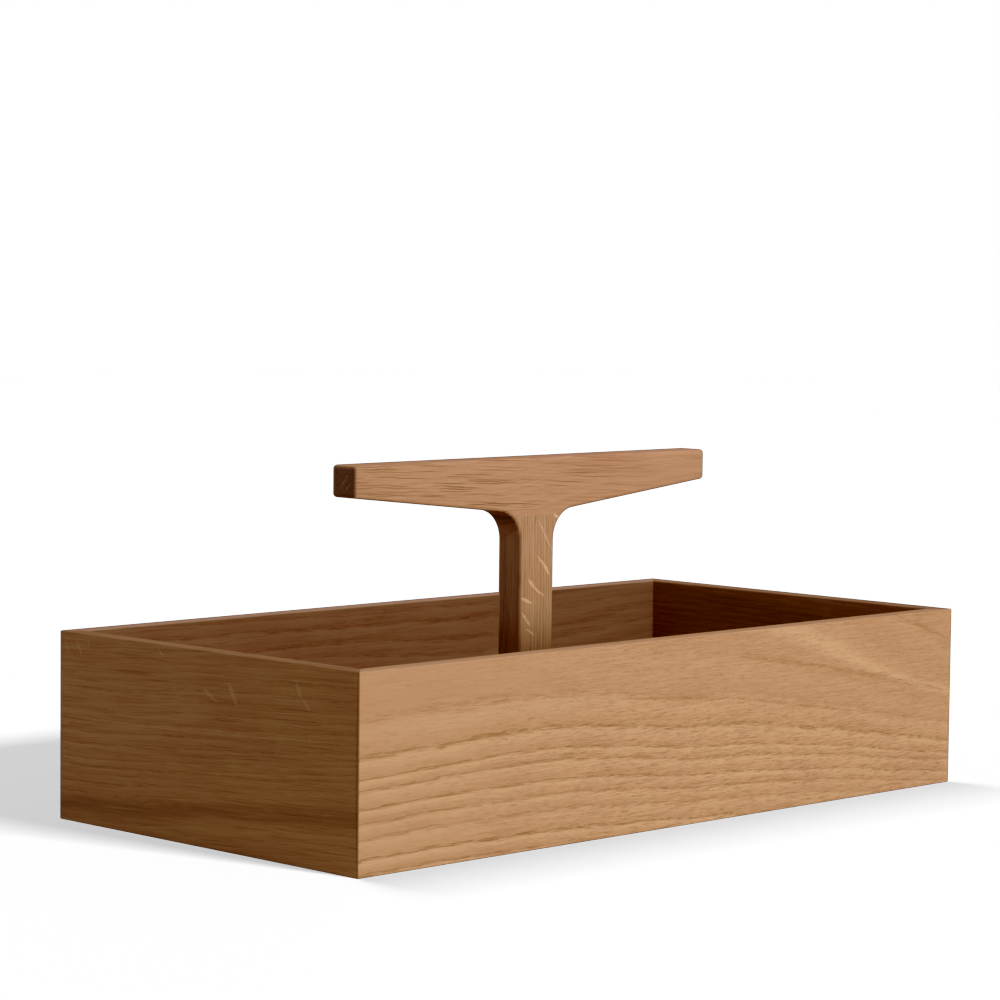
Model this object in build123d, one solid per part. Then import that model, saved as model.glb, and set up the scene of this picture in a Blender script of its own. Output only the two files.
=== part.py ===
from build123d import *
import os

# An open oak tool box with a T shaped carrying handle.
# Lengths are millimetres. X runs along the box, Y across it and Z up from the floor.
# The origin is the middle of the footprint, on the floor.

# Box walls, mitred at the corners
box_length = 360.0
box_width = 182.0
wall_height = 78.0
wall_thickness = 8.0
corner_rounding = 0.8
arris_rounding = 0.5

# Bottom board, rebated all round so that its upper part runs in a groove in the walls
bottom_thickness = 8.0
bottom_lift = 2.0
bottom_lip_thickness = 4.0
bottom_groove_depth = 4.0
bottom_groove_clearance = 0.1
bottom_movement_gap = 0.5
bottom_shoulder_gap = 0.6

# Loose tongues, one hidden in each mitre
tongue_thickness = 2.5
tongue_width = 7.0
tongue_stop = 8.0
tongue_inset = 3.0
tongue_face_clearance = 0.05
tongue_edge_clearance = 0.3

# Handle: a tapered bar on a post, rounded over as one piece after gluing
handle_top = 148.0
handle_depth = 14.0
handle_fillet = 13.6
handle_rounding = 1.6
bar_length = 212.0
bar_end_height = 13.0
bar_middle_height = 24.5
post_width = 20.0
housing_depth = 2.0
housing_clearance = 0.1

# Dowels between the bar and the post
dowel_diameter = 5.0
dowel_length = 24.0
dowel_spacing = 10.0
dowel_chamfer = 0.8
dowel_side_clearance = 0.05
dowel_end_clearance = 0.5

# Countersunk screws, driven from beneath through the bottom board into the post
screw_length = 35.0
screw_diameter = 3.5
screw_head_diameter = 7.0
screw_head_rim = 0.3
screw_tip_length = 5.0
screw_spacing = 9.5
screw_sink = 0.3
screw_clearance = 0.05
screw_slot_length = 3.8
screw_slot_width = 0.9
screw_slot_depth = 1.3

# Places that follow from the sizes
inner_length = box_length - 2 * wall_thickness
inner_width = box_width - 2 * wall_thickness
bottom_top = bottom_lift + bottom_thickness
lip_underside = bottom_top - bottom_lip_thickness
post_foot = bottom_top - housing_depth
seam_height = handle_top - bar_middle_height
bar_end_underside = handle_top - bar_end_height


def raised(plan, low, high):
    """A plan shape raised from one height to another."""
    return extrude(Pos(0, 0, low) * plan, high - low)


def tongue_plane(side_x, side_y):
    """The middle plane of a loose tongue: upright, and square to the mitre face."""
    inward = Vector(-side_x, -side_y, 0).normalized()
    middle_height = (bottom_top + wall_height) / 2
    inner_corner = Vector(side_x * inner_length / 2, side_y * inner_width / 2, middle_height)
    return Plane(inner_corner - inward * tongue_inset, x_dir=(0, 0, 1), z_dir=inward)


def tongue_form(side_x, side_y, face_clearance, edge_clearance):
    """A round-ended tongue, or the slot for one where clearances are given."""
    length = wall_height - bottom_top - 2 * tongue_stop + 2 * edge_clearance
    outline = SlotOverall(length, tongue_width + 2 * edge_clearance)
    half_thickness = tongue_thickness / 2 + face_clearance
    return extrude(tongue_plane(side_x, side_y) * outline, half_thickness, both=True)


def wall_ring():
    """All four walls before the mitres part them, with their groove and tongue slots."""
    outline = RectangleRounded(box_length, box_width, corner_rounding)
    ring = raised(outline - Rectangle(inner_length, inner_width), 0, wall_height)
    levels = ring.edges().group_by(Axis.Z)
    ring = fillet(levels[0] + levels[-1], arris_rounding)
    groove_reach = 2 * bottom_groove_depth
    groove = Rectangle(inner_length + groove_reach, inner_width + groove_reach)
    ring -= raised(groove, lip_underside, bottom_top + bottom_groove_clearance)
    for side_x, side_y in corners.values():
        ring -= tongue_form(side_x, side_y, tongue_face_clearance, tongue_edge_clearance)
    return ring


def wall(ring, outer_length, outer_distance, turn):
    """The stretch of the ring between two mitre planes that run out through its corners."""
    beyond = wall_thickness
    half = outer_length / 2
    zone = Polygon(
        (-half - beyond, -outer_distance - beyond),
        (half + beyond, -outer_distance - beyond),
        (half - 2 * beyond, -outer_distance + 2 * beyond),
        (-half + 2 * beyond, -outer_distance + 2 * beyond),
        align=None,
    )
    return ring & raised(Rot(0, 0, turn) * zone, -beyond, wall_height + beyond)


def screw_form(clearance, open_below):
    """A countersunk screw, point up with its head's face at the origin, or the hole for one."""
    shank = screw_diameter / 2 + clearance
    head = screw_head_diameter / 2 + clearance
    cone_end = screw_head_rim + head - shank
    tip = screw_length + clearance
    half_profile = Polygon(
        (0, -open_below),
        (head, -open_below),
        (head, screw_head_rim),
        (shank, cone_end),
        (shank, tip - screw_tip_length),
        (0, tip),
        align=None,
    )
    return revolve(Plane.XZ * half_profile, Axis.Z)


def screw():
    """One screw with the cross recess in its head."""
    body = screw_form(0, 0)
    for turn in (0, 90):
        slot = Box(screw_slot_length, screw_slot_width, 2 * screw_slot_depth)
        body -= Rot(0, 0, turn) * slot
    return body


def screw_places():
    """Where the face of each screw's head lies, just inside the board's underside."""
    height = bottom_lift + screw_sink
    return [Pos(side * screw_spacing / 2, 0, height) for side in (-1, 1)]


def dowel_places():
    """Where the middle of each dowel lies, in the seam between the post and the bar."""
    return [Pos(side * dowel_spacing / 2, 0, seam_height) for side in (-1, 1)]


def dowel():
    """One dowel with its ends chamfered."""
    body = Cylinder(dowel_diameter / 2, dowel_length)
    return chamfer(body.edges().filter_by(GeomType.CIRCLE), dowel_chamfer)


def dowel_hole():
    """The drilling for one dowel, through the seam."""
    radius = dowel_diameter / 2 + dowel_side_clearance
    return Cylinder(radius, dowel_length + 2 * dowel_end_clearance)


def bottom_board():
    """The bottom board, with the housing for the post and its two screw holes."""
    body = Rectangle(inner_length - 2 * bottom_shoulder_gap, inner_width - 2 * bottom_shoulder_gap)
    lip_reach = 2 * (bottom_groove_depth - bottom_movement_gap)
    lip = Rectangle(inner_length + lip_reach, inner_width + lip_reach)
    board = raised(body, bottom_lift, bottom_top) + raised(lip, lip_underside, bottom_top)
    housing = Rectangle(post_width + 2 * housing_clearance, handle_depth + 2 * housing_clearance)
    board -= raised(housing, post_foot, bottom_top)
    for place in screw_places():
        board -= place * screw_form(screw_clearance, bottom_lift + screw_sink)
    return board


def handle_blank():
    """The bar and the post as glued up: one T outline, filleted and rounded over."""
    taper = (bar_middle_height - bar_end_height) / (bar_length / 2)
    neck_height = seam_height + taper * post_width / 2
    right_side = [
        (post_width / 2, post_foot),
        (post_width / 2, neck_height),
        (bar_length / 2, bar_end_underside),
        (bar_length / 2, handle_top),
    ]
    left_side = [(-x, height) for x, height in reversed(right_side)]
    outline = Polygon(*right_side, *left_side, align=None)
    neck_corners = outline.vertices().group_by(Axis.Y)[1]
    outline = fillet(neck_corners, handle_fillet)
    blank = extrude(Plane.XZ * outline, handle_depth / 2, both=True)
    above_foot = blank.edges().group_by(Axis.Z)[1:]
    return fillet([edge for level in above_foot for edge in level], handle_rounding)


def handle_pieces():
    """The handle bar and the handle post, parted at the seam and drilled."""
    blank = handle_blank()
    seam = Plane.XY.offset(seam_height)
    bar = split(blank, seam, keep=Keep.TOP)
    post = split(blank, seam, keep=Keep.BOTTOM)
    for place in dowel_places():
        bar -= place * dowel_hole()
        post -= place * dowel_hole()
    for place in screw_places():
        post -= place * screw_form(screw_clearance, 0)
    return bar, post


corners = {
    "front_left": (-1, -1),
    "front_right": (1, -1),
    "back_right": (1, 1),
    "back_left": (-1, 1),
}

nodes = {}

# Walls, each turned from the front one
ring = wall_ring()
nodes["front_wall"] = wall(ring, box_length, box_width / 2, 0)
nodes["right_wall"] = wall(ring, box_width, box_length / 2, 90)
nodes["back_wall"] = wall(ring, box_length, box_width / 2, 180)
nodes["left_wall"] = wall(ring, box_width, box_length / 2, 270)

for corner, (side_x, side_y) in corners.items():
    nodes["mitre_tongue_" + corner] = tongue_form(side_x, side_y, 0, 0)

nodes["bottom_board"] = bottom_board()
nodes["handle_bar"], nodes["handle_post"] = handle_pieces()
nodes["handle_dowels"] = Part() + [place * dowel() for place in dowel_places()]
nodes["post_screws"] = Part() + [place * screw() for place in screw_places()]

os.makedirs("parts", exist_ok=True)
for name, piece in nodes.items():
    piece.label = name
    export_step(piece, "parts/" + name + ".step")
    solids = piece.solids()
    print(name, len(solids), "solids", round(sum(solid.volume for solid in solids)), "mm3")
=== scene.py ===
import math

import bpy
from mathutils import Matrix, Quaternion, Vector


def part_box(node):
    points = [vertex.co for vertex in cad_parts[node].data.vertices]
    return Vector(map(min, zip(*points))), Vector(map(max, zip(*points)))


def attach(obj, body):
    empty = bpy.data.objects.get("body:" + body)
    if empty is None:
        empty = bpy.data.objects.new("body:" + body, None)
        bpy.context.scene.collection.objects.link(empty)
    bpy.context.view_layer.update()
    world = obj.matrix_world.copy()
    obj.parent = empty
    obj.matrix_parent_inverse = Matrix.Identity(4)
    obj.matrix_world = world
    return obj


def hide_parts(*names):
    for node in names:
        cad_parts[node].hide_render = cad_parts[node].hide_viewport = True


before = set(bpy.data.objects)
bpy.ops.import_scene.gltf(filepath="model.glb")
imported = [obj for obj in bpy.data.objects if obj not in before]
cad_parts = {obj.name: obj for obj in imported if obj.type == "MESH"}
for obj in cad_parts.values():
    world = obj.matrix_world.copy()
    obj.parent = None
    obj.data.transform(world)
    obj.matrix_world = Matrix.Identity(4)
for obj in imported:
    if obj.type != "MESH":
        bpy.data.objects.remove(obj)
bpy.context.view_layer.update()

bl_info = {
    "name": "Oak tool box",
    "version": (1, 0, 0),
    "blender": (4, 5, 0),
    "location": "3D View > Sidebar > Tool Box",
    "description": "Finishes an open oak tool box with a T shaped handle and sets its studio",
    "category": "Object",
}

MM = 0.001

# How each board was cut from the log. Lengths are millimetres in the box's frame.
# order: the box axes that run along the grain, across it and up it.
# pith: where the middle of the log lies on the second and third of these axes.
# crest, bow and slope: the rings' shift along the board, from the taper of the log.
# ring: the mean width of a ring. start: the radius of one ring's edge.
# calm: the radius out to which the rings are faint. sway: how far they wander.
# band: the radius and the half width of one wide ring, and how pale it is, or how dark below nought.
# vein: the length and the spacing of the dashes that open vessels make.
# hair: the length and the strength of the short fibres. quiet: where along the board the figure comes in.
# tint: what the board's tint makes of the oak's red, green and blue. The left wall's darker, redder tint is
# partly painted shade.
# lean: how far the fibres climb across the board, for each millimetre along it.
BOARDS = {
    "front_wall": {
        "order": "XYZ", "pith": (89.0, 88.0), "crest": -100.0, "bow": -0.000098, "slope": 0.0,
        "ring": 2.34, "start": 174.1, "calm": 184.0, "sway": 0.6, "band": (177.9, 0.8, 0.7),
        "vein": (9.0, 0.7), "hair": (6.0, 1.0), "quiet": (-180.0, -20.0), "lines": 1.0, "veins": 0.6,
        "pores": 0.8, "rays": 0.3, "seed": 3.0, "tint": (0.98, 1.0, 1.03),
    },
    "back_wall": {
        "order": "XYZ", "pith": (-40.0, 210.0), "crest": 60.0, "bow": 0.00006, "slope": 0.01,
        "ring": 4.6, "start": 100.0, "sway": 3.0,
        "vein": (24.0, 0.8), "hair": (20.0, 0.2), "lines": 0.8, "veins": 0.3,
        "pores": 0.3, "rays": 0.3, "seed": 11.0, "tint": (0.95, 0.97, 1.16),
    },
    # The left wall: its darker, redder tint is partly the board's own colour and partly painted shade
    "left_wall": {
        "order": "YXZ", "pith": (-120.0, 330.0), "crest": 60.0, "bow": 0.00008, "slope": -0.055,
        "ring": 3.6, "start": 100.0, "sway": 3.0, "band": (322.0, 6.5, -0.65),
        "vein": (50.0, 1.0), "hair": (24.0, 0.4), "lines": 0.5, "veins": 0.6,
        "pores": 0.35, "rays": 0.2, "seed": 21.0, "tint": (0.89, 0.835, 0.8), "lean": 0.05,
    },
    "right_wall": {
        "order": "YXZ", "pith": (120.0, 300.0), "crest": -30.0, "bow": 0.00005, "slope": 0.02,
        "ring": 2.6, "start": 100.0, "sway": 4.0,
        "vein": (30.0, 0.9), "hair": (18.0, 0.5), "lines": 0.7, "veins": 0.6,
        "pores": 0.6, "rays": 0.4, "seed": 31.0, "tint": (0.84, 0.8, 0.82),
    },
    "bottom_board": {
        "order": "XYZ", "pith": (20.0, -110.0), "crest": 30.0, "bow": 0.00006, "slope": 0.01,
        "ring": 2.8, "start": 100.0, "sway": 5.0,
        "vein": (14.0, 0.9), "hair": (8.0, 0.9), "lines": 0.9, "veins": 0.5,
        "pores": 0.8, "rays": 0.4, "seed": 43.0, "tint": (0.95, 0.95, 0.95),
    },
    "handle_bar": {
        "order": "XYZ", "pith": (40.0, 80.0), "crest": 40.0, "bow": 0.00012, "slope": -0.04,
        "ring": 2.6, "start": 60.0, "sway": 3.0,
        "vein": (66.0, 0.8), "hair": (14.0, 0.5), "quiet": (110.0, -70.0), "lines": 0.3, "veins": 1.9,
        "pores": 0.5, "rays": 0.15, "seed": 57.0, "tint": (0.89, 0.87, 0.96), "lean": 0.05,
    },
    "handle_post": {
        "order": "ZYX", "pith": (6.0, -75.0), "crest": 60.0, "bow": 0.00003, "slope": 0.0,
        "ring": 1.5, "start": 60.0, "sway": 1.0,
        "vein": (40.0, 0.9), "hair": (24.0, 0.7), "lines": 1.3, "veins": 0.5,
        "pores": 0.6, "rays": 0.15, "seed": 64.0, "tint": (0.83, 0.825, 0.915),
    },
}

# What most boards share: no calm heart, no wide ring, figure from end to end, level fibres
PLAIN_CUT = {"calm": 0.0, "band": (0.0, 1.0, 0.0), "quiet": (-999.0, -998.0), "lean": 0.0}
# The grain's inputs for the entries that hold several numbers. The others go by their own names
CUT_INPUTS = {
    "pith": ("Pith Across", "Pith Up"), "band": ("Band", "Band Width", "Band Tone"),
    "vein": ("Vein Length", "Vein Gap"), "hair": ("Hair Length", "Hair"), "quiet": ("Quiet From", "Quiet To"),
}

# Relative widths of ten years' growth, which repeat through the log
TEN_YEARS = (0.99, 1.23, 1.10, 1.22, 0.95, 0.55, 0.96, 0.79, 0.91, 1.30)

# How far a seed moves the grain along, across and up its board, in millimetres
SEED_STEPS = (131.0, 57.0, 83.0)
# How much of a drawn line is left out in short gaps
LINE_BREAKS = 0.7

# Rows of the grid for each stretch of an outline, from its first pole to its last
# A screw's stretches: face, rim, countersink, threaded shank, tip
SCREW_ROWS = (14, 2, 8, 150, 10)
# A dowel's stretches: face, chamfer, side, chamfer, face
DOWEL_ROWS = (2, 2, 6, 2, 2)
# Sides of a screw's outline, and of a dowel's for each flute
SCREW_AROUND = 32
FLUTE_SIDES = 4
# Points nearer than this are one, and edges sharper than this stay sharp
MERGE = 0.002 * MM
SHARP = math.radians(40.0)
# A screw's tip in thread diameters, and the depth of its recess in head diameters
TIP_LENGTH = 1.2
RECESS_DEPTH = 0.26

# The pieces that each softbox lights
FRONT_NODES = ("front_wall", "left_wall", "bottom_board")
BOX_NODES = ("front_wall", "back_wall", "left_wall", "right_wall", "bottom_board")
HANDLE_NODES = ("handle_bar", "handle_post")
RIM_NODES = ("back_wall", "left_wall", "right_wall")

# Marks that run straight through a board, so the faces on both its sides show them: the two axes of
# these faces, the colour, how plain the marks are, and the marks, each from one end to the other in
# millimetres, then its width. A board may have several sets
MARKS = {
    "handle_post": [("XZ", "fleck", 0.8, (
        (0.3, 121.3, 9.2, 107.1, 0.35), (-0.3, 106.0, 5.8, 100.4, 0.5),
        (3.4, 102.6, 7.6, 97.2, 0.75), (-5.7, 96.4, -1.2, 91.6, 0.7),
        (-2.4, 92.6, 4.4, 88.3, 0.5), (-9.6, 88.2, -3.2, 85.8, 0.6),
        (-9.1, 81.9, -3.9, 75.9, 0.75), (-6.4, 74.9, -1.6, 72.0, 0.6),
        (9.6, 123.8, 13.2, 121.1, 0.8),
    )), ("XZ", "pore", 0.6, (
        (-3.8, 75.5, -4.0, 56.0, 0.22),
    ))],
    "handle_bar": [("YZ", "fleck", 0.3, (
        (2.0, 138.6, -2.6, 144.0, 0.3), (-1.4, 138.0, -4.4, 141.0, 0.25),
    ))],
    "left_wall": [("YZ", "fleck", 0.28, (
        (87.8, 74.0, 84.5, 68.3, 0.45), (80.6, 75.4, 76.0, 68.3, 0.5),
        (72.8, 76.0, 70.9, 72.8, 0.4), (27.4, 76.0, 24.0, 73.5, 0.5),
        (0.0, 63.0, -9.0, 58.5, 0.8), (-16.0, 66.3, -21.0, 58.0, 1.2),
        (-55.0, 71.5, -58.5, 65.0, 1.0), (-59.0, 65.0, -63.5, 60.5, 0.8),
    )), ("YZ", "pore", 0.5, (
        # A dark line down the near corner, where the left wall meets the front wall: partly the mitre's glue
        # line and partly painted shade along the rounded arris, drawn in the pore colour
        (-90.9, -14.0, -90.9, 92.0, 1.5),
    )), ("YZ", "line", 0.5, (
        (-34.0, 69.2, -88.0, 71.9, 0.6), (86.0, 54.6, -6.0, 60.2, 0.45),
        (4.0, 28.8, -84.0, 34.0, 0.5), (86.0, 23.5, 4.0, 28.0, 0.5),
        (56.0, 13.0, -16.0, 15.8, 1.9), (86.0, 9.6, 36.0, 11.6, 1.4),
        (-30.0, 15.2, -86.0, 18.2, 1.3),
    )), ("YZ", "light", 0.3, (
        (85.0, 43.3, 13.0, 44.8, 0.5), (12.0, 44.9, -88.0, 50.3, 0.5),
    ))],
    "back_wall": [("XZ", "line", 0.4, (
        (98.0, 60.6, 146.0, 63.8, 1.4), (124.0, 65.4, 172.0, 68.2, 1.2),
        (96.0, 56.6, 132.0, 58.6, 1.3), (14.0, 67.6, 66.0, 70.2, 1.2),
        (-66.0, 70.2, 8.0, 72.8, 1.0), (16.0, 59.4, 64.0, 60.6, 1.7),
        (-84.0, 62.2, 2.0, 65.2, 1.3), (-152.0, 65.8, -98.0, 67.6, 1.1),
    ))],
    "front_wall": [("XZ", "line", 0.6, (
        (-112.0, 48.2, -97.0, 46.6, 1.0), (-107.0, 46.4, -101.0, 45.4, 0.6),
        (-140.5, 46.0, -134.0, 45.6, 0.8), (75.0, 34.2, 87.0, 32.2, 1.1),
        (-78.0, 36.6, -55.0, 36.2, 0.6),
    )), ("XZ", "line", 0.5, (
        (36.0, 67.4, 96.0, 58.6, 1.1), (82.0, 61.0, 178.0, 41.5, 1.3),
        (-36.0, 55.8, 40.0, 49.6, 0.8), (30.0, 51.0, 120.0, 36.8, 0.9),
        (138.0, 78.6, 178.0, 65.0, 1.0),
    ))],
}

WHITE = (1.0, 1.0, 1.0)
# Softboxes: name, place, aim, size, the pieces lit, the pieces that shade them, where not all do, and hue.
# Each one's power is among the studio's settings
LIGHTS = (
    ("key_softbox", (0.06, -1.1, 0.09), (0.06, 0.0, 0.06), (0.6, 0.14), FRONT_NODES, (), WHITE),
    ("handle_softbox", (0.15, -1.1, 0.18), (0.15, 0.0, 0.12), (0.4, 0.36), HANDLE_NODES, (), WHITE),
    ("inside_softbox", (-0.1, -0.9, 0.8), (0.0, 0.09, 0.05), (0.8, 0.5), ("back_wall",), BOX_NODES, WHITE),
    ("top_softbox", (0.0, 0.2, 1.5), (0.0, 0.0, 0.0), (0.5, 0.5), ("front_wall", "handle_bar"), (),
     (1.0, 0.99, 1.15)),
    ("rim_softbox", (0.45, 0.35, 1.5), (0.0, 0.0, 0.0), (0.5, 0.5), RIM_NODES, (), (0.95, 0.96, 1.25)),
    ("side_softbox", (1.3, -0.2, 0.1), (0.0, 0.0, 0.05), (0.2, 0.7), ("right_wall",), (), WHITE),
    ("back_softbox", (-0.3, 1.3, 0.1), (0.0, 0.0, 0.05), (1.2, 0.2), BOX_NODES + HANDLE_NODES, (), WHITE),
    ("front_floor_lamp", (0.26, -2.8, 1.24), (0.0, 0.0, 0.0), (0.5, 0.23), ("floor",), BOX_NODES, WHITE),
    ("back_floor_lamp", (0.0, 0.58, 1.95), (0.0, 0.0, 0.0), (0.56, 1.12), ("floor",), ("front_wall",), WHITE),
    ("floor_fill_lamp", (0.0, 0.0, 2.0), (0.0, 0.0, 0.0), (0.5, 0.5), ("floor",), ("floor",), WHITE),
)

# The film's toe: scene light, and what the film keeps of it
TOE = ((0.015, 0.0), (0.036, 0.012), (0.06, 0.037), (0.075, 0.054), (0.14, 0.135))


# Settings

def number_setting(name, description, default, **options):
    """A number from nought up."""
    return bpy.props.FloatProperty(name=name, description=description, default=default, min=0, **options)


def share_setting(name, description, default):
    """A share, from nought to one."""
    return number_setting(name, description, default, max=1, subtype="FACTOR")


def power_setting(name, description, watts):
    """The power of a light, in watts."""
    return number_setting(name, description + ", in watts", watts, unit="POWER")


def length_setting(name, description, millimetres):
    """A length, given in millimetres and kept in metres."""
    return bpy.props.FloatProperty(name=name, description=description, default=millimetres * MM,
                                   subtype="DISTANCE", unit="LENGTH")


def colour_setting(name, description, default):
    """A colour."""
    return bpy.props.FloatVectorProperty(name=name, description=description, default=default,
                                         subtype="COLOR", size=3, min=0, max=1)


class OakFinish(bpy.types.PropertyGroup):
    """Colours of oiled oak and the sizes of its grain"""
    pale: colour_setting("Pale wood", "Colour of the wood between the ring lines", (0.53, 0.29, 0.138))
    light: colour_setting(
        "Early wood", "Colour of the light band after each ring line", (0.63, 0.375, 0.19))
    late: colour_setting(
        "Late wood", "Colour of the dense wood before each ring line", (0.45, 0.236, 0.108))
    warm: colour_setting(
        "Warm wood", "Colour that the pale wood drifts to in patches", (0.47, 0.236, 0.118))
    line: colour_setting(
        "Ring line", "Colour of the porous line that starts each ring", (0.31, 0.148, 0.058))
    pore: colour_setting("Pore", "Colour in the open pores", (0.22, 0.095, 0.035))
    fleck: colour_setting(
        "Ray fleck", "Colour of the rays where the cut lays them open", (0.68, 0.43, 0.235))
    roughness: share_setting("Roughness", "Roughness of the oiled surface", 0.5)
    relief: length_setting("Relief", "Depth of the pores and fibres", 0.1)
    # The paler band along the edges is partly wear and partly a painted highlight
    wear: length_setting("Edge wear", "Width of the polished band along the edges", 0.6)


class JointFinish(bpy.types.PropertyGroup):
    """Beech of the tongues and dowels, and the dowels' flutes"""
    beech: colour_setting("Beech", "Colour of the tongues and dowels", (0.58, 0.36, 0.2))
    fleck: colour_setting("Beech fleck", "Colour of the short flecks in the beech", (0.3, 0.15, 0.07))
    flutes: bpy.props.IntProperty(
        name="Flutes", description="Flutes round each dowel", min=6, max=32, default=16)
    flute_depth: length_setting("Flute depth", "Depth of a dowel's flutes", 0.22)
    chamfer: length_setting("Dowel chamfer", "Chamfer at a dowel's ends", 0.8)


class ScrewFinish(bpy.types.PropertyGroup):
    """Sizes and colour of the countersunk screws"""
    steel: colour_setting("Zinc", "Colour of the plated steel", (0.62, 0.58, 0.47))
    head: length_setting("Head", "Diameter of the head", 7.0)
    thread: length_setting("Thread", "Outer diameter of the thread", 3.5)
    core: length_setting("Core", "Diameter under the thread", 2.3)
    pitch: length_setting("Pitch", "Rise of the thread in one turn", 1.6)
    rim: length_setting("Rim", "Height of the head's edge", 0.35)


class StudioSettings(bpy.types.PropertyGroup):
    """Camera, lights and floor"""
    lens: bpy.props.FloatProperty(
        name="Lens", description="Focal length on a 36 mm sensor",
        subtype="DISTANCE_CAMERA", default=121.501)
    camera_place: bpy.props.FloatVectorProperty(
        name="Camera", description="Where the camera stands",
        subtype="XYZ", unit="LENGTH", size=3, default=(-1.0273, -1.0133, 0.2331))
    camera_aim: bpy.props.FloatVectorProperty(
        name="Aim", description="What the camera looks at",
        subtype="XYZ", unit="LENGTH", size=3, default=(-0.0015, 0.0146, 0.1286))
    camera_roll: bpy.props.FloatProperty(
        name="Roll", description="Turn of the camera about its line of sight",
        subtype="ANGLE", unit="ROTATION", default=math.radians(0.626))
    key_power: power_setting("Key light", "Power of the long low softbox in front", 7.2)
    handle_power: power_setting(
        "Handle light", "Power of the softbox in front that lights the handle", 8.95)
    inside_power: power_setting(
        "Inside light", "Power of the softbox that lights the back wall's inner face", 3.5)
    top_power: power_setting("Top light", "Power of the softbox over the front rim and the bar", 12.2)
    rim_power: power_setting("Rim light", "Power of the softbox over the other rims", 8.6)
    side_power: power_setting("Side light", "Power of the softbox beside the right wall", 4.0)
    front_floor_power: power_setting(
        "Front floor light", "Power of the lamp in front that lights the floor", 617.0)
    back_floor_power: power_setting(
        "Back floor light", "Power of the lamp behind that lights the floor", 90.0)
    floor_fill_power: power_setting(
        "Floor fill", "Power of the lamp that lights the floor and throws no shadow", 74.0)
    back_power: power_setting("Back light", "Power of the low softbox behind", 5.0)
    surround: number_setting("Surround", "Brightness of the room round the box", 0.205)
    toe: share_setting("Toe", "How far the film's toe deepens the shade", 1.0)


class ToolBoxSettings(bpy.types.PropertyGroup):
    """All settings of the tool box"""
    oak: bpy.props.PointerProperty(type=OakFinish)
    joints: bpy.props.PointerProperty(type=JointFinish)
    screws: bpy.props.PointerProperty(type=ScrewFinish)
    studio: bpy.props.PointerProperty(type=StudioSettings)


# Node trees

class Value:
    """A number or a vector that a node gives. Arithmetic with it adds nodes, by the first value's kind."""

    def __init__(self, graph, socket):
        self.graph = graph
        self.socket = socket

    def combined(self, operation, first, second):
        """The result of a Math node, or of a Vector Math node for a vector or a colour."""
        is_vector = self.socket.type in ("VECTOR", "RGBA")
        maths = self.graph.vector if is_vector else self.graph.maths
        return maths(operation, first, second)

    def __add__(self, other):
        return self.combined("ADD", self, other)

    def __sub__(self, other):
        return self.combined("SUBTRACT", self, other)

    def __rsub__(self, other):
        return self.combined("SUBTRACT", other, self)

    def __mul__(self, other):
        return self.combined("MULTIPLY", self, other)

    def __truediv__(self, other):
        return self.combined("DIVIDE", self, other)


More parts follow.
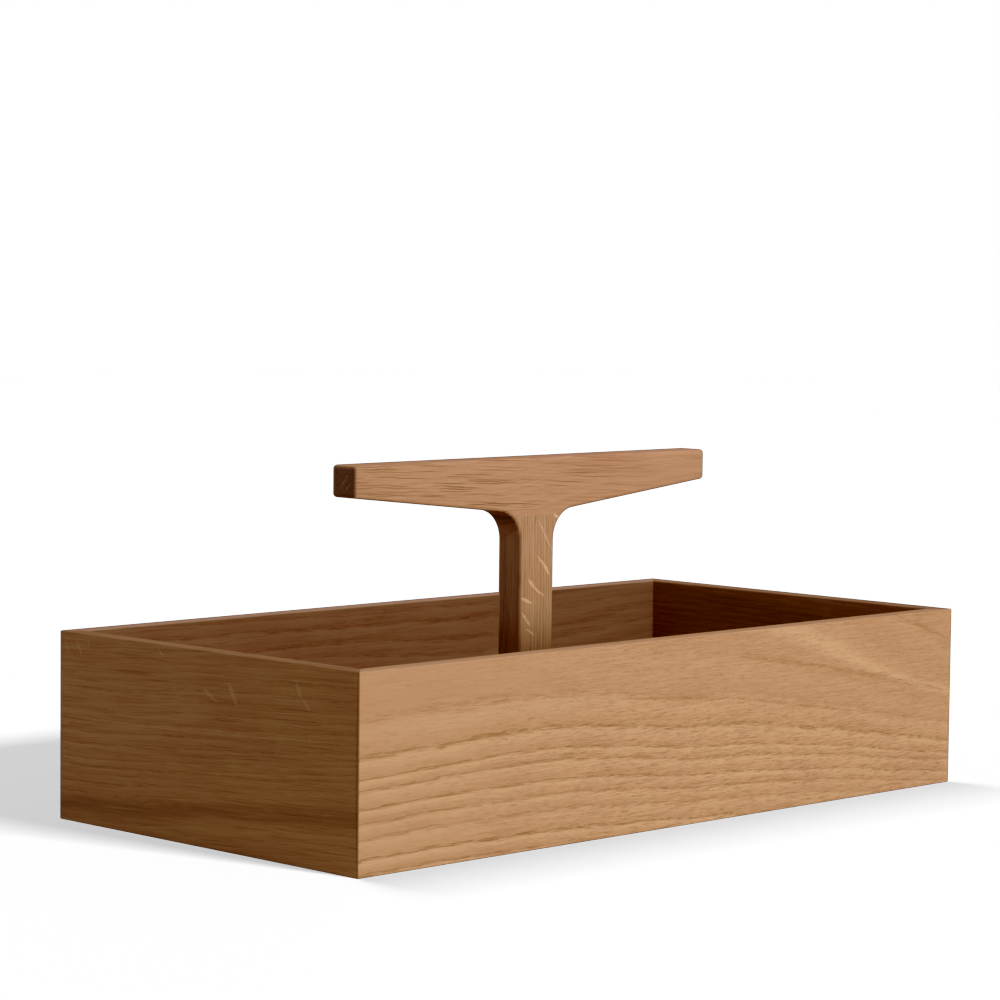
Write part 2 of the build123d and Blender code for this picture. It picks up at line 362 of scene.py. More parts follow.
class Graph:
    """A node tree, with short ways to add its nodes and join them."""

    def __init__(self, tree):
        self.tree = tree

    def feed(self, socket, value):
        """Joins a socket to an output, or sets its value."""
        if isinstance(value, Value):
            value = value.socket
        if isinstance(value, bpy.types.NodeSocket):
            self.tree.links.new(value, socket)
        else:
            socket.default_value = value

    def node(self, kind, feeds=(), **settings):
        """Adds a node, sets its properties and feeds its inputs."""
        made = self.tree.nodes.new(kind)
        for name, value in settings.items():
            setattr(made, name, value)
        for name, value in dict(feeds).items():
            self.feed(made.inputs[name], value)
        return made

    def ask(self, kind, feeds=(), output=0, **settings):
        """Adds a node, and gives one of its outputs."""
        return Value(self, self.node(kind, feeds, **settings).outputs[output])

    def given(self):
        """The inputs of a node group, by their names."""
        outputs = self.node("NodeGroupInput").outputs
        return {socket.name: Value(self, socket) for socket in outputs if socket.name}

    def maths(self, operation, *values, clamp=False):
        """A Math node on numbers or outputs."""
        return self.ask("ShaderNodeMath", enumerate(values), operation=operation, use_clamp=clamp)

    def vector(self, operation, *values):
        """A Vector Math node, with its vector output."""
        return self.ask("ShaderNodeVectorMath", enumerate(values), operation=operation)

    def measure(self, operation, *values):
        """A Vector Math node, with its number output."""
        return self.ask("ShaderNodeVectorMath", enumerate(values), "Value", operation=operation)

    def split(self, vector):
        """The three numbers of a vector."""
        outputs = self.node("ShaderNodeSeparateXYZ", {0: vector}).outputs
        return tuple(Value(self, socket) for socket in outputs)

    def joined(self, *values):
        """A vector of three numbers."""
        return self.ask("ShaderNodeCombineXYZ", enumerate(values))

    def step(self, value, start, end, low=0.0, high=1.0):
        """A smooth change from low to high as the value goes from start to end."""
        feeds = {"Value": value, "From Min": start, "From Max": end, "To Min": low, "To Max": high}
        return self.ask("ShaderNodeMapRange", feeds, "Result", interpolation_type="SMOOTHSTEP")

    def noise(self, vector, detail=2.0, roughness=0.5):
        """Noise in 3-D, about one blob to each unit of the vector. Gives its number and colour."""
        feeds = {"Vector": vector, "Scale": 1.0, "Detail": detail, "Roughness": roughness}
        outputs = self.node("ShaderNodeTexNoise", feeds, noise_dimensions="3D").outputs
        return Value(self, outputs["Fac"]), Value(self, outputs["Color"])

    def cells(self, vector, dimensions="3D"):
        """Scattered cells, one to each unit of the vector. Gives the distance to a cell and its colour."""
        settings = {"voronoi_dimensions": dimensions, "feature": "F1"}
        outputs = self.node("ShaderNodeTexVoronoi", {"Vector": vector, "Scale": 1.0}, **settings).outputs
        return Value(self, outputs["Distance"]), Value(self, outputs["Color"])

    def mix(self, factor, first, second, blend="MIX"):
        """A mix of two colours."""
        made = self.node("ShaderNodeMix", data_type="RGBA", blend_type=blend)
        colours = [socket for socket in made.inputs if socket.type == "RGBA"]
        for socket, value in zip((made.inputs[0], *colours), (factor, first, second)):
            self.feed(socket, value)
        return Value(self, next(socket for socket in made.outputs if socket.type == "RGBA"))

    def ramp(self, factor, stops):
        """A value that follows stops of (place, value)."""
        made = self.node("ShaderNodeValToRGB", {"Fac": factor})
        made.color_ramp.interpolation = "EASE"
        elements = made.color_ramp.elements
        while len(elements) < len(stops):
            elements.new(0.5)
        for element, (place, value) in zip(elements, stops):
            element.position = place
            element.color = (value, value, value, 1.0)
        return Value(self, made.outputs["Color"])


def colour(values, tint=(1.0, 1.0, 1.0)):
    """A colour property with a tint, as a node's four numbers."""
    return (*(value * share for value, share in zip(values, tint)), 1.0)


def in_order(numbers, order):
    """The numbers of a place in the order of some of the box's axes."""
    return tuple(numbers["XYZ".index(axis)] for axis in order)


def cut_inputs(board):
    """A board's numbers, by the names of the grain's inputs."""
    inputs = {}
    for entry, value in board.items():
        if entry in CUT_INPUTS:
            inputs.update(zip(CUT_INPUTS[entry], value))
        elif entry not in ("order", "tint"):
            inputs[entry.title()] = value
    return inputs


def new_group(name, inputs, outputs):
    """A shader node group with sockets of some kinds. Gives it, its graph, its inputs and its outputs."""
    tree = bpy.data.node_groups.new(name, "ShaderNodeTree")
    for way, sockets in (("INPUT", inputs), ("OUTPUT", outputs)):
        for kind, labels in sockets.items():
            for label in labels:
                tree.interface.new_socket(label, in_out=way, socket_type="NodeSocket" + kind)
    g = Graph(tree)
    return tree, g, g.given(), g.node("NodeGroupOutput").inputs


# Oak, as a solid: each face of a board cuts the same rings, pores and rays

def oak_group():
    """The grain of one log. Positions are millimetres along, across and up the board."""
    tree, g, given, result = new_group(
        "Oak Grain",
        {"Vector": ("Position", "Facing", "Low", "High"),
         "Float": (*cut_inputs(PLAIN_CUT | BOARDS["front_wall"]), "Wear", "Roughness"),
         "Color": ("Pale", "Light", "Late", "Warm", "Line", "Pore", "Fleck")},
        {"Color": ("Colour",), "Float": ("Roughness", "Relief")},
    )
    along, across, up = g.split(given["Position"])
    shift = g.joined(*(given["Seed"] * step for step in SEED_STEPS))
    place = given["Position"] + shift + g.joined(0.0, 0.0, along * given["Lean"])

    def stretched(length, width):
        """The place, measured in lengths along the grain and widths across it."""
        return place / (length, width, width)

    def centred(value, amount):
        """A noise value moved to swing about nought by an amount."""
        return (value - 0.5) * amount

    # Rings round the pith, swayed and wobbled as the tree grew
    sway_across, sway_up, fade = g.split(g.noise(stretched(120.0, 60.0), detail=1.0)[1])
    sway = given["Sway"] * 4.0
    out_across = across - given["Pith Across"] + centred(sway_across, sway)
    out_up = up - given["Pith Up"] + centred(sway_up, sway)
    outward = g.joined(0.0, out_across, out_up)
    from_crest = along - given["Crest"]
    taper = from_crest * from_crest * given["Bow"] + along * given["Slope"]
    wobble = centred(g.noise(stretched(35.0, 9.0))[0], given["Sway"] * 0.5)
    radial = g.measure("LENGTH", outward) + taper + wobble
    dash = centred(g.split(g.cells(stretched(8.0, 0.6))[1])[0], 0.16)
    jag = centred(g.noise(stretched(12.0, 1.6))[0], given["Sway"] * 0.06 + 0.06)
    years = uneven_years(g, radial, given["Start"], given["Ring"]) + (dash + jag)
    share = g.maths("FRACT", years)
    lottery = {"W": g.maths("FLOOR", years) + given["Seed"]}
    ring_strength = g.ask("ShaderNodeTexWhiteNoise", lottery, "Value", noise_dimensions="1D") * 0.6 + 0.4
    distinct = g.step(radial, given["Calm"] - 3.0, given["Calm"] + 1.0, 0.3, 1.0)
    strength = ring_strength * distinct * (g.step(fade, 0.3, 0.6, 0.55, 1.0) * given["Lines"])
    quiet = g.step(along, given["Quiet From"], given["Quiet To"], 0.25, 1.0)
    breaks = g.step(g.noise(stretched(5.0, 0.8))[0], 0.34, 0.62, quiet * -0.9 + 1.25, 1.25)
    early = g.ramp(share, [(0.0, 1.0), (0.04, 0.9), (0.1, 0.25), (0.18, 0.0), (0.96, 0.0), (1.0, 0.8)])
    light = g.ramp(share, [(0.0, 0.0), (0.12, 0.5), (0.24, 1.0), (0.45, 0.6), (0.75, 0.0)])
    late = g.ramp(share, [(0.3, 0.0), (0.7, 0.4), (0.95, 1.0)])
    line = breaks * early * strength

    # Warm patches, a wide ring, and fibres that run with the grain
    patches = g.step(g.noise(stretched(40.0, 14.0))[0], 0.45, 0.7)
    lively = (distinct * 0.7 + 0.45) * quiet
    band = g.step(g.maths("ABSOLUTE", radial - given["Band"]), given["Band Width"], 0.0) * given["Band Tone"]
    fibre = g.noise(stretched(30.0, 0.8), detail=4.0, roughness=0.6)[0]
    hair = g.noise(place / g.joined(given["Hair Length"], 0.55, 0.55), roughness=0.6)[0]
    hairy = lively * given["Hair"]
    drawn = quiet * 0.6 + 0.4

    # Veins: thin dashes where vessels come to the surface along the grain, in rows that waver
    along_facing = g.maths("ABSOLUTE", g.split(given["Facing"])[0])
    vein_size = g.joined(given["Vein Length"], given["Vein Gap"], given["Vein Gap"])
    vein_along, vein_across, vein_up = g.split(place / vein_size)
    waver = centred(g.noise(stretched(18.0, 5.0))[0], 2.4)
    vein_distance, vein_colour = g.cells(g.joined(vein_along, vein_across * 0.7 + vein_up + waver, 0.0), "2D")
    vein_width, vein_depth, _ = g.split(vein_colour)
    vein_core = vein_width * 0.2 + 0.1
    vein = g.step(vein_distance, vein_core, vein_core * 0.7) * (vein_depth * 0.7 + 0.3)
    vein = vein * g.step(along_facing, 0.5, 0.8, 1.0, 0.0) * (given["Veins"] * lively)

    # Rays: thin sheets from the pith outwards, dark where cut across and pale where laid open
    around = g.maths("ARCTAN2", out_up, out_across) * 110.0
    seeded_along = along + given["Seed"] * 17.0
    crinkle = g.noise(stretched(4.0, 1.6))[1]
    ray_place = g.joined(seeded_along / 11.0, radial / 8.0, around / 1.25) + crinkle * (0.3, 0.3, 0.5)
    ray_distance, ray_colour = g.cells(ray_place)
    ray_size = g.split(ray_colour)[0] * 0.24 + 0.08
    ray = g.step(ray_distance, ray_size, ray_size * 0.55) * given["Rays"]
    facing_out = g.measure("DOT_PRODUCT", given["Facing"], g.vector("NORMALIZE", outward))
    cut_across = g.step(g.maths("ABSOLUTE", facing_out), 0.45, 0.8)

    # Pores: long thin tubes, crowded where a ring starts
    pore_distance, pore_colour = g.cells(stretched(6.0, 0.42) + crinkle * (0.0, 0.8, 0.8))
    pore_size = (line * 0.3 + 0.17) * (g.split(pore_colour)[1] + 0.4)
    pore = g.step(pore_distance, pore_size, pore_size * 0.5)
    pore = g.maths("MULTIPLY", pore, given["Pores"] * quiet, clamp=True)

    # All of them laid over the pale wood in turn, each with its cover
    ground = given["Pale"]
    for cover, name in (
        (g.maths("MAXIMUM", patches * 0.6, (1.0 - distinct) * 0.6), "Warm"),
        (strength * light * 0.75, "Light"),
        (strength * late * 0.65, "Late"),
        (band, "Light"),
        (band * -1.0, "Line"),
        (g.step(fibre, 0.5, 0.75, 0.0, 0.4) * drawn, "Line"),
        (g.step(fibre, 0.5, 0.28, 0.0, 0.35) * drawn, "Light"),
        (g.step(hair, 0.52, 0.72, 0.0, 0.45) * hairy, "Line"),
        (g.step(hair, 0.48, 0.28, 0.0, 0.35) * hairy, "Light"),
        (line * 0.95, "Line"),
        (vein * 0.6, "Pore"),
        (ray * cut_across * 0.6, "Line"),
        (ray * (1.0 - cut_across) * 0.4, "Fleck"),
        (pore * 0.55, "Pore"),
    ):
        ground = g.mix(cover, ground, given[name])

    # End grain drinks more oil and turns darker
    end_grain = g.step(along_facing, 0.25, 0.9, 1.0, 0.52)
    ground = g.mix(1.0, ground, g.joined(end_grain, end_grain, end_grain), blend="MULTIPLY")

    # Edges: the arrises turn paler, partly worn by hands and partly a painted highlight along every edge
    from_low = g.split(given["Position"] - given["Low"])
    from_high = g.split(given["High"] - given["Position"])
    end, side, face = [g.maths("MINIMUM", low, high) for low, high in zip(from_low, from_high)]
    arris = g.maths("MAXIMUM", g.maths("MINIMUM", end, side), g.maths("MINIMUM", end, face))
    arris = g.maths("MAXIMUM", arris, g.maths("MINIMUM", side, face))
    worn_and_highlit = g.step(arris + centred(g.noise(stretched(7.0, 3.0))[0], given["Wear"]), given["Wear"], 0.0)
    g.feed(result["Colour"], g.mix(worn_and_highlit * 0.15, ground, given["Light"]))
    g.feed(result["Roughness"], pore * 0.2 + (given["Roughness"] + centred(fibre, 0.22)) - worn_and_highlit * 0.12)
    g.feed(result["Relief"], fibre * 0.5 - g.maths("MAXIMUM", pore, vein) - line * 0.3)
    return tree


def uneven_years(g, radial, start, ring):
    """Counts the rings outwards from a start, by ten years of uneven growth that repeat."""
    tens = (radial - start) / (ring * len(TEN_YEARS))
    growth = g.node("ShaderNodeFloatCurve", {"Value": g.maths("FRACT", tens)})
    curve = growth.mapping.curves[0]
    reached = 0.0
    for year, width in enumerate(TEN_YEARS[:-1], 1):
        reached += width / sum(TEN_YEARS)
        curve.points.new(reached, year / len(TEN_YEARS))
    for point in curve.points:
        point.handle_type = "VECTOR"
    growth.mapping.update()
    return (g.maths("FLOOR", tens) + growth.outputs[0]) * len(TEN_YEARS)


def mark_group():
    """A mark between two points of a flat face, thick in its middle, with ragged edges."""
    tree, g, given, result = new_group(
        "Mark", {"Vector": ("Point", "Start", "End"), "Float": ("Width", "Broken")}, {"Float": ("Mask",)})
    point = given["Point"]
    ragged = (g.noise(point / (1.3, 1.3, 1.3))[1] - (0.5, 0.5, 0.5)) * (1.6, 1.6, 0.0)
    run = given["End"] - given["Start"]
    reach = point + ragged - given["Start"]
    run_square = g.measure("DOT_PRODUCT", run, run)
    share = g.maths("DIVIDE", g.measure("DOT_PRODUCT", reach, run), run_square, clamp=True)
    nearest = g.ask("ShaderNodeVectorMath", {0: run, "Scale": share}, operation="SCALE")
    away = g.measure("LENGTH", reach - nearest)
    width = given["Width"] * (share * (1.0 - share) * 3.2 + 0.2)
    mask = g.step(away, width * 1.3, width * 0.6)
    stipple = g.noise(point / (6.0, 1.0, 1.0), detail=3.0)[0]
    gaps = g.step(stipple, 0.58, 0.42, 0.0, given["Broken"])
    g.feed(result["Mask"], mask * (1.0 - gaps))
    return tree


def blank_material(name):
    """An empty material. Gives it, its graph, its place in millimetres and the way that it faces."""
    material = bpy.data.materials.new(name)
    material.use_nodes = True
    g = Graph(material.node_tree)
    g.tree.nodes.clear()
    coordinates = g.node("ShaderNodeTexCoord").outputs
    place = g.vector("MULTIPLY", coordinates["Object"], (1 / MM, 1 / MM, 1 / MM))
    return material, g, place, Value(g, coordinates["Normal"])


def surface(g, base, roughness, bumps, strength, depth, constants):
    """Ends a material's tree with a bumped shader. Constants are set on the shader's own sockets."""
    bump = g.ask("ShaderNodeBump", {"Strength": strength, "Distance": depth, "Height": bumps}, "Normal")
    feeds = {**constants, "Base Color": base, "Roughness": roughness, "Normal": bump}
    g.node("ShaderNodeOutputMaterial", {"Surface": g.ask("ShaderNodeBsdfPrincipled", feeds)})


def oak_material(node_name, oak, groups):
    """Oiled oak for one board, cut as BOARDS says, with its marks."""
    board = PLAIN_CUT | BOARDS[node_name]
    order = board["order"]
    material, g, place, facing = blank_material("oak_" + node_name)
    place = g.split(place)
    low, high = [[length / MM for length in corner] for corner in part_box(node_name)]
    colours = {name.title(): colour(getattr(oak, name), board["tint"])
               for name in ("pale", "light", "late", "warm", "line", "fleck")}
    grain = g.node("ShaderNodeGroup", {
        **cut_inputs(board),
        **colours,
        "Pore": colour(oak.pore),
        "Position": g.joined(*in_order(place, order)),
        "Facing": g.joined(*in_order(g.split(facing), order)),
        "Low": in_order(low, order),
        "High": in_order(high, order),
        "Wear": oak.wear / MM,
        "Roughness": oak.roughness,
    }, node_tree=groups["oak"]).outputs
    finished = grain["Colour"]
    for axes, kind, plainness, marks in MARKS.get(node_name, ()):
        on_face = g.joined(*in_order(place, axes), 0.0)
        for start_along, start_up, end_along, end_up, width in marks:
            mark = g.ask("ShaderNodeGroup", {
                "Point": on_face,
                "Start": (start_along, start_up, 0.0),
                "End": (end_along, end_up, 0.0),
                "Width": width,
                "Broken": LINE_BREAKS if kind == "line" else 0.0,
            }, node_tree=groups["mark"])
            finished = g.mix(mark * plainness, finished, colour(getattr(oak, kind)))
    sanded = g.step(g.split(facing)[2], 0.3, 0.8, 0.0, 0.4)
    roughness = g.maths("ADD", grain["Roughness"], sanded, clamp=True)
    surface(g, finished, roughness, grain["Relief"], 0.6, oak.relief,
            {"IOR": 1.45, "Specular IOR Level": 0.05})
    return material


def finish_boards(names, oak):
    """Gives each named board its own cut of oak."""
    groups = {
        "oak": bpy.data.node_groups.get("Oak Grain") or oak_group(),
        "mark": bpy.data.node_groups.get("Mark") or mark_group(),
    }
    for name in names:
        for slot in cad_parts[name].material_slots:
            slot.material = oak_material(name, oak, groups)


# Beech and plated steel

def beech_material(name, joints, grain):
    """Beech, pale and plain, with its short dark flecks along one axis of the box."""
    material, g, place, _ = blank_material(name)

    def stretched(length, width):
        """The place, measured in lengths along the grain and widths across it."""
        return place / tuple(length if axis == grain else width for axis in "XYZ")

    cloud = g.noise(stretched(14.0, 3.0), detail=3.0)[0]
    ground = g.mix(cloud, colour(joints.beech), colour(joints.beech, (0.78, 0.78, 0.78)))
    distance, spread = g.cells(stretched(1.6, 0.35))
    size = g.split(spread)[0] * 0.3 + 0.05
    fleck = g.step(distance, size, size * 0.5)
    ground = g.mix(fleck * 0.6, ground, colour(joints.fleck))
    fibre = g.noise(stretched(9.0, 0.3), detail=3.0)[0]
    surface(g, ground, fibre * 0.2 + 0.5, fibre - fleck, 0.4, 0.05 * MM, {"Specular IOR Level": 0.25})
    return material


def steel_material(screws):
    """Zinc plate on rolled steel, with fine turning marks and a few dull blooms."""
    material, g, place, _ = blank_material("screw_steel")
    marks = g.noise(place / (2.0, 2.0, 0.12), detail=3.0)[0]
    bloom = g.step(g.noise(place / (1.5, 1.5, 1.5), detail=3.0)[0], 0.45, 0.7)
    plate = g.mix(bloom * 0.5, colour(screws.steel), colour(screws.steel, (0.7, 0.7, 0.7)))
    surface(g, plate, bloom * 0.2 + (marks * 0.15 + 0.25), marks, 0.3, 0.03 * MM, {"Metallic": 1.0})
    return material


# Turned pieces: a grid rolled round its axis, then set in a row

SOCKETS = {float: "NodeSocketFloat", int: "NodeSocketInt", tuple: "NodeSocketVector",
           bpy.types.Material: "NodeSocketMaterial"}


def portion(g, share, start, end):
    """How far the share has come from start to end, from nought to one."""
    return g.ask("ShaderNodeMapRange", {"Value": share, "From Min": start, "From Max": end}, "Result")


def portions(g, share, rows):
    """One portion for each stretch of an outline, by the rows of the grid that it takes."""
    ends = [sum(rows[:count]) / sum(rows) for count in range(len(rows) + 1)]
    return [portion(g, share, start, end) for start, end in zip(ends, ends[1:])]


def turned_tree(name, values, rows, around, outline):
    """A geometry tree that turns an outline round its axis and sets a row of the result."""
    tree = bpy.data.node_groups.new(name, "GeometryNodeTree")
    for label, value in values.items():
        tree.interface.new_socket(label, in_out="INPUT", socket_type=SOCKETS[type(value)])
    tree.interface.new_socket("Geometry", in_out="OUTPUT", socket_type="NodeSocketGeometry")
    g = Graph(tree)
    given = g.given()
    grid = g.ask("GeometryNodeMeshGrid", {"Size X": 1.0, "Size Y": 1.0, "Vertices X": around + 1,
                                          "Vertices Y": sum(rows) + 1})
    across, along, _ = g.split(g.ask("GeometryNodeInputPosition"))
    angle = (across + 0.5) * math.tau
    radius, height = outline(g, given, portions(g, along + 0.5, rows), angle)
    rolled = g.joined(radius * g.maths("COSINE", angle), radius * g.maths("SINE", angle), height)
    placed = g.ask("GeometryNodeSetPosition", {"Geometry": grid, "Position": rolled})
    merged = g.ask("GeometryNodeMergeByDistance", {"Geometry": placed, "Distance": MERGE})
    edge_angle = g.ask("GeometryNodeInputMeshEdgeAngle", (), "Unsigned Angle")
    sharp = g.maths("GREATER_THAN", edge_angle, SHARP)
    feeds = {"Geometry": merged, "Selection": sharp, "Shade Smooth": False}
    shaded = g.ask("GeometryNodeSetShadeSmooth", feeds, domain="EDGE")
    feeds = {"Count": given["Pieces"], "Start Location": given["Start"],
             "Offset": g.joined(given["Spacing"], 0.0, 0.0)}
    row = g.ask("GeometryNodeMeshLine", feeds, mode="OFFSET")
    copies = g.ask("GeometryNodeInstanceOnPoints", {"Points": row, "Instance": shaded})
    real = g.ask("GeometryNodeRealizeInstances", {"Geometry": copies})
    painted = g.ask("GeometryNodeSetMaterial", {"Geometry": real, "Material": given["Material"]})
    g.node("NodeGroupOutput", {"Geometry": painted})
    return tree


def screw_outline(g, given, stretches, angle):
    """Radius and height of a countersunk screw with a cross recess, head down."""
    face, rim, cone, shank, tip = stretches
    head = given["Head"] * 0.5
    core = given["Core"] * 0.5
    flare = head - core
    radius = head * face - flare * cone - core * tip
    tip_length = given["Thread"] * TIP_LENGTH
    straight = given["Length"] - given["Rim"] - (flare + tip_length)
    height = given["Rim"] * rim + flare * cone + straight * shank + tip_length * tip
    turns = height / given["Pitch"] - angle / math.tau
    ridge = portion(g, g.maths("PINGPONG", turns * 2.0, 1.0), 0.35, 1.0)
    full = portion(g, shank, 0.05, 0.12) * portion(g, tip, 1.0, 0.0)
    radius = ridge * full * ((given["Thread"] - given["Core"]) * 0.5) + radius
    sideways = g.maths("ABSOLUTE", radius * g.maths("COSINE", angle))
    upwards = g.maths("ABSOLUTE", radius * g.maths("SINE", angle))
    from_slot = g.maths("MINIMUM", sideways, upwards) / given["Head"]
    recess = portion(g, from_slot, 0.11, 0.06) * portion(g, radius / given["Head"], 0.31, 0.16)
    recess = recess * portion(g, rim, 1.0, 0.0)
    return radius, recess * (given["Head"] * RECESS_DEPTH) + height


def dowel_outline(g, given, stretches, angle):
    """Radius and height of a fluted dowel with chamfered ends."""
    low_face, low_chamfer, side, high_chamfer, high_face = stretches
    chamfer = given["Chamfer"]
    flat = given["Diameter"] * 0.5 - chamfer
    radius = flat * low_face + chamfer * low_chamfer - chamfer * high_chamfer - flat * high_face
    wave = g.maths("COSINE", angle * given["Flutes"]) * -0.5 + 0.5
    fluted = low_chamfer * portion(g, high_chamfer, 1.0, 0.0)
    straight = chamfer * -2.0 + given["Length"]
    height = chamfer * low_chamfer + straight * side + chamfer * high_chamfer
    return radius - wave * fluted * given["Flute Depth"], height


def turned_piece(name, values, rows, around, outline):
    """Runs a geometry tree once, and keeps its result as a plain mesh that rides on the box."""
    tree = turned_tree(name.replace("_", " ").title(), values, rows, around, outline)
    piece = link_object(name, bpy.data.meshes.new(name))
    modifier = piece.modifiers.new("Turning", "NODES")
    modifier.node_group = tree
    for socket in tree.interface.items_tree:
        if socket.in_out == "INPUT":
            modifier[socket.identifier] = values[socket.name]
    graph = bpy.context.evaluated_depsgraph_get()
    mesh = bpy.data.meshes.new_from_object(piece.evaluated_get(graph))
    piece.modifiers.remove(modifier)
    piece.data = mesh
    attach(piece, "root")
    return piece


def row_between(node_name, diameter, pieces):
    """The row of upright pieces that fill a CAD node's box from end to end."""
    low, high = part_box(node_name)
    start = (low[0] + diameter / 2, (low[1] + high[1]) / 2, low[2])
    spacing = (high[0] - low[0] - diameter) / (pieces - 1)
    return {"Start": start, "Spacing": spacing, "Pieces": pieces, "Length": high[2] - low[2]}


# Operators

class WallsOperator(bpy.types.Operator):
    """Finishes the four mitred walls in oiled oak"""
    bl_idname = "tool_box.walls"
    bl_label = "Walls"

    def execute(self, context):
        names = ("front_wall", "back_wall", "left_wall", "right_wall")
        finish_boards(names, context.scene.tool_box.oak)
        return {"FINISHED"}


class BottomOperator(bpy.types.Operator):
    """Finishes the bottom board in oiled oak"""
    bl_idname = "tool_box.bottom"
    bl_label = "Bottom Board"

    def execute(self, context):
        finish_boards(("bottom_board",), context.scene.tool_box.oak)
        return {"FINISHED"}


class HandleOperator(bpy.types.Operator):
    """Finishes the bar and the post of the handle in oiled oak"""
    bl_idname = "tool_box.handle"
    bl_label = "Handle"

    def execute(self, context):
        finish_boards(("handle_bar", "handle_post"), context.scene.tool_box.oak)
        return {"FINISHED"}


class TonguesOperator(bpy.types.Operator):
    """Finishes the beech tongues that lock the four mitres"""
    bl_idname = "tool_box.tongues"
    bl_label = "Mitre Tongues"

    def execute(self, context):
        beech = beech_material("beech_tongues", context.scene.tool_box.joints, "X")
        for name in ("front_left", "front_right", "back_right", "back_left"):
            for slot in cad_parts["mitre_tongue_" + name].material_slots:
                slot.material = beech
        return {"FINISHED"}


class DowelsOperator(bpy.types.Operator):
    """Makes the two fluted dowels between the bar and the post"""
    bl_idname = "tool_box.dowels"
    bl_label = "Dowels"

    def execute(self, context):
        joints = context.scene.tool_box.joints
        low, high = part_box("handle_dowels")
        diameter = high[1] - low[1]
        values = {
            **row_between("handle_dowels", diameter, 2), "Diameter": diameter, "Chamfer": joints.chamfer,
            "Flutes": joints.flutes, "Flute Depth": joints.flute_depth,
            "Material": beech_material("beech_dowels", joints, "Z"),
        }
        around = FLUTE_SIDES * joints.flutes
        dowels = turned_piece("fluted_dowels", values, DOWEL_ROWS, around, dowel_outline)
        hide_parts("handle_dowels")
        return {"FINISHED"}


class ScrewsOperator(bpy.types.Operator):
    """Makes the two countersunk screws that hold the post from below"""
    bl_idname = "tool_box.screws"
    bl_label = "Screws"

    def execute(self, context):
        screws = context.scene.tool_box.screws
        values = {
            **row_between("post_screws", screws.head, 2), "Head": screws.head, "Thread": screws.thread,
            "Core": screws.core, "Pitch": screws.pitch, "Rim": screws.rim, "Material": steel_material(screws),
        }
        pair = turned_piece("countersunk_screws", values, SCREW_ROWS, SCREW_AROUND, screw_outline)
        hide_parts("post_screws")
        return {"FINISHED"}


class StageOperator(bpy.types.Operator):
    """Sets the floor, the soft lights, the room and the camera"""
    bl_idname = "tool_box.stage"
    bl_label = "Stage"

    def execute(self, context):
        studio = context.scene.tool_box.studio
        make_floor()
        for name, place, aim, size, lit, shading, hue in LIGHTS:
            power = getattr(studio, name.rsplit("_", 1)[0] + "_power")
            soft_light(name, place, aim, size, power, lit, shading, hue)
        make_room(context.scene, studio.surround)
        make_camera(context.scene, studio)
        set_film(context.scene.view_settings, studio.toe)
        return {"FINISHED"}


class ToolBoxPanel(bpy.types.Panel):
    """Lists the steps that finish the tool box"""
    bl_idname = "VIEW3D_PT_tool_box"
    bl_label = "Oak Tool Box"
    bl_space_type = "VIEW_3D"
    bl_region_type = "UI"
    bl_category = "Tool Box"

    def draw(self, context):
        column = self.layout.column()
        for operator in OPERATORS:
            column.operator(operator.bl_idname)
        settings = context.scene.tool_box
        for group in (settings.oak, settings.joints, settings.screws, settings.studio):
            box = column.box()
            for name in group.__annotations__:
                box.prop(group, name)


# Stage

def link_object(name, data):
    """Adds an object with this data to the scene."""
    made = bpy.data.objects.new(name, data)
    bpy.context.scene.collection.objects.link(made)
    return made


def make_floor():
    """A wide plain floor that shows the soft shadows on the white backdrop."""
    half = 4.0
    corners = [(-half, -half, 0.0), (half, -half, 0.0), (half, half, 0.0), (-half, half, 0.0)]
    mesh = bpy.data.meshes.new("floor")
    mesh.from_pydata(corners, [], [(0, 1, 2, 3)])
    material = bpy.data.materials.new("plain_floor")
    material.use_nodes = True
    shader = material.node_tree.nodes["Principled BSDF"]
    shader.inputs["Base Color"].default_value = (0.032, 0.032, 0.032, 1.0)
    shader.inputs["Roughness"].default_value = 0.9
    mesh.materials.append(material)
    floor = link_object("floor", mesh)
    floor.is_shadow_catcher = True


def gathered(name, pieces):
    """A collection of the floor or of some of the CAD's nodes, for a light to be linked to."""
    collection = bpy.data.collections.new(name)
    for piece in pieces:
        collection.objects.link(bpy.data.objects[piece] if piece == "floor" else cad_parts[piece])
    return collection


def soft_light(name, place, aim, size, power, lit, shading, hue):
    """A rectangular softbox, aimed at a point, that lights some pieces and is shaded by all or by some."""
    data = bpy.data.lights.new(name, "AREA")
    data.shape = "RECTANGLE"
    data.size, data.size_y = size
    data.energy = power
    data.color = hue
    light = link_object(name, data)
    light.location = place
    light.visible_camera = False
    light.light_linking.receiver_collection = gathered(name + "_lit", lit)
    if shading:
        light.light_linking.blocker_collection = gathered(name + "_shading", shading)
    direction = Vector(aim) - Vector(place)
    light.rotation_euler = direction.to_track_quat("-Z", "Y").to_euler()


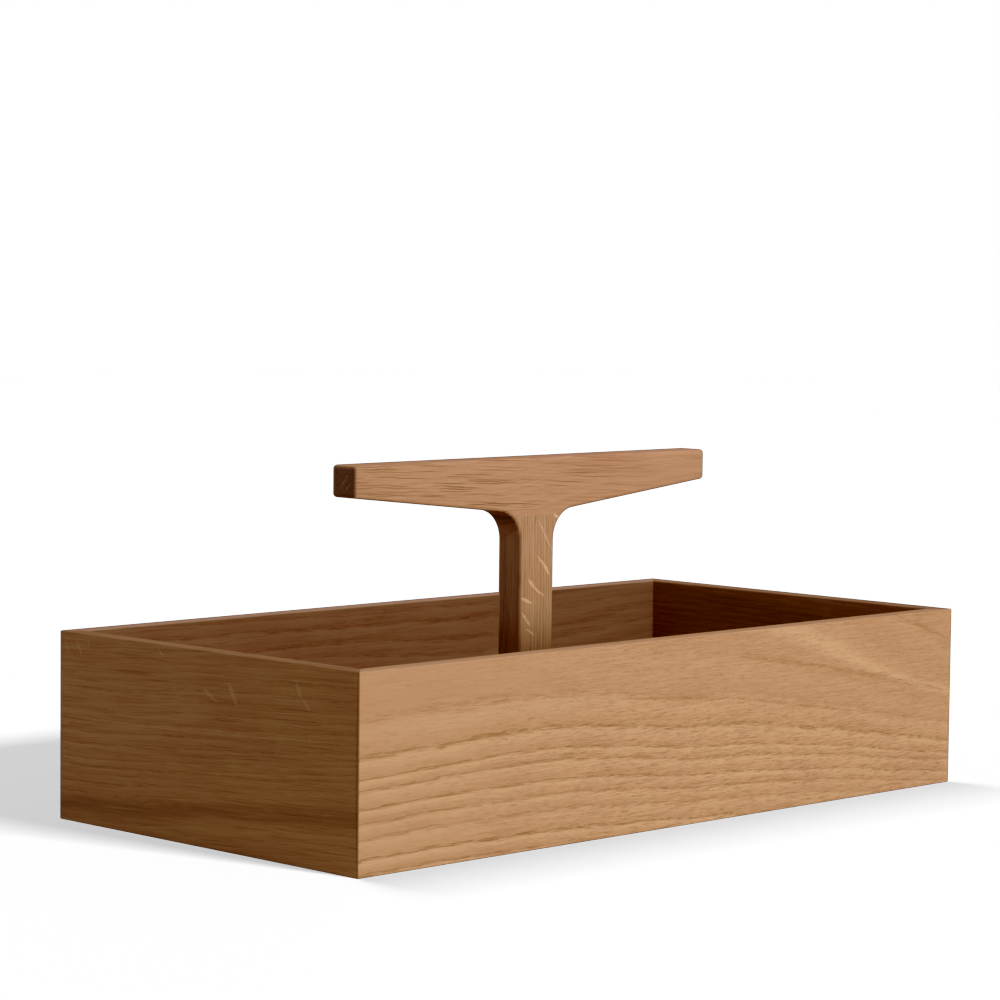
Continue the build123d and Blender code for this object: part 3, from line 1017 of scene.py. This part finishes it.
def make_room(scene, brightness):
    """An even dim room, behind which the background is white."""
    world = bpy.data.worlds.new("room")
    world.use_nodes = True
    scene.world = world
    g = Graph(world.node_tree)
    g.tree.nodes.clear()
    white = colour(WHITE)
    room = g.ask("ShaderNodeBackground", {"Color": white, "Strength": brightness})
    backdrop = g.ask("ShaderNodeBackground", {"Color": white, "Strength": 1.0})
    seen = g.ask("ShaderNodeLightPath", (), "Is Camera Ray")
    chosen = g.ask("ShaderNodeMixShader", {0: seen, 1: room, 2: backdrop})
    g.node("ShaderNodeOutputWorld", {"Surface": chosen})


def set_film(view, toe):
    """Plain colours with a film's toe, which deepens and warms the shade and leaves the lights alone."""
    view.view_transform = "Standard"
    view.use_curve_mapping = True
    curve = view.curve_mapping.curves[3]
    for light, deep in TOE:
        curve.points.new(light, light + toe * (deep - light))
    for point in curve.points:
        point.handle_type = "VECTOR"
    view.curve_mapping.update()


def make_camera(scene, studio):
    """The camera at the photographed angle."""
    data = bpy.data.cameras.new("camera")
    data.sensor_width = 36.0
    data.lens = studio.lens
    data.clip_start, data.clip_end = 0.05, 50.0
    camera = link_object("camera", data)
    camera.location = studio.camera_place
    direction = Vector(studio.camera_aim) - Vector(studio.camera_place)
    level = direction.to_track_quat("-Z", "Y")
    camera.rotation_mode = "QUATERNION"
    camera.rotation_quaternion = level @ Quaternion((0.0, 0.0, 1.0), studio.camera_roll)
    scene.camera = camera


OPERATORS = (WallsOperator, TonguesOperator, BottomOperator, HandleOperator, DowelsOperator, ScrewsOperator,
             StageOperator)
GROUPS = (OakFinish, JointFinish, ScrewFinish, StudioSettings, ToolBoxSettings)


def register():
    for item in (*GROUPS, *OPERATORS, ToolBoxPanel):
        bpy.utils.register_class(item)
    bpy.types.Scene.tool_box = bpy.props.PointerProperty(type=ToolBoxSettings)


def unregister():
    del bpy.types.Scene.tool_box
    for item in reversed((*GROUPS, *OPERATORS, ToolBoxPanel)):
        bpy.utils.unregister_class(item)


def main():
    """Runs every step in order."""
    register()
    bpy.ops.tool_box.walls()
    bpy.ops.tool_box.tongues()
    bpy.ops.tool_box.bottom()
    bpy.ops.tool_box.handle()
    bpy.ops.tool_box.dowels()
    bpy.ops.tool_box.screws()
    bpy.ops.tool_box.stage()


if __name__ == "__main__":
    main()
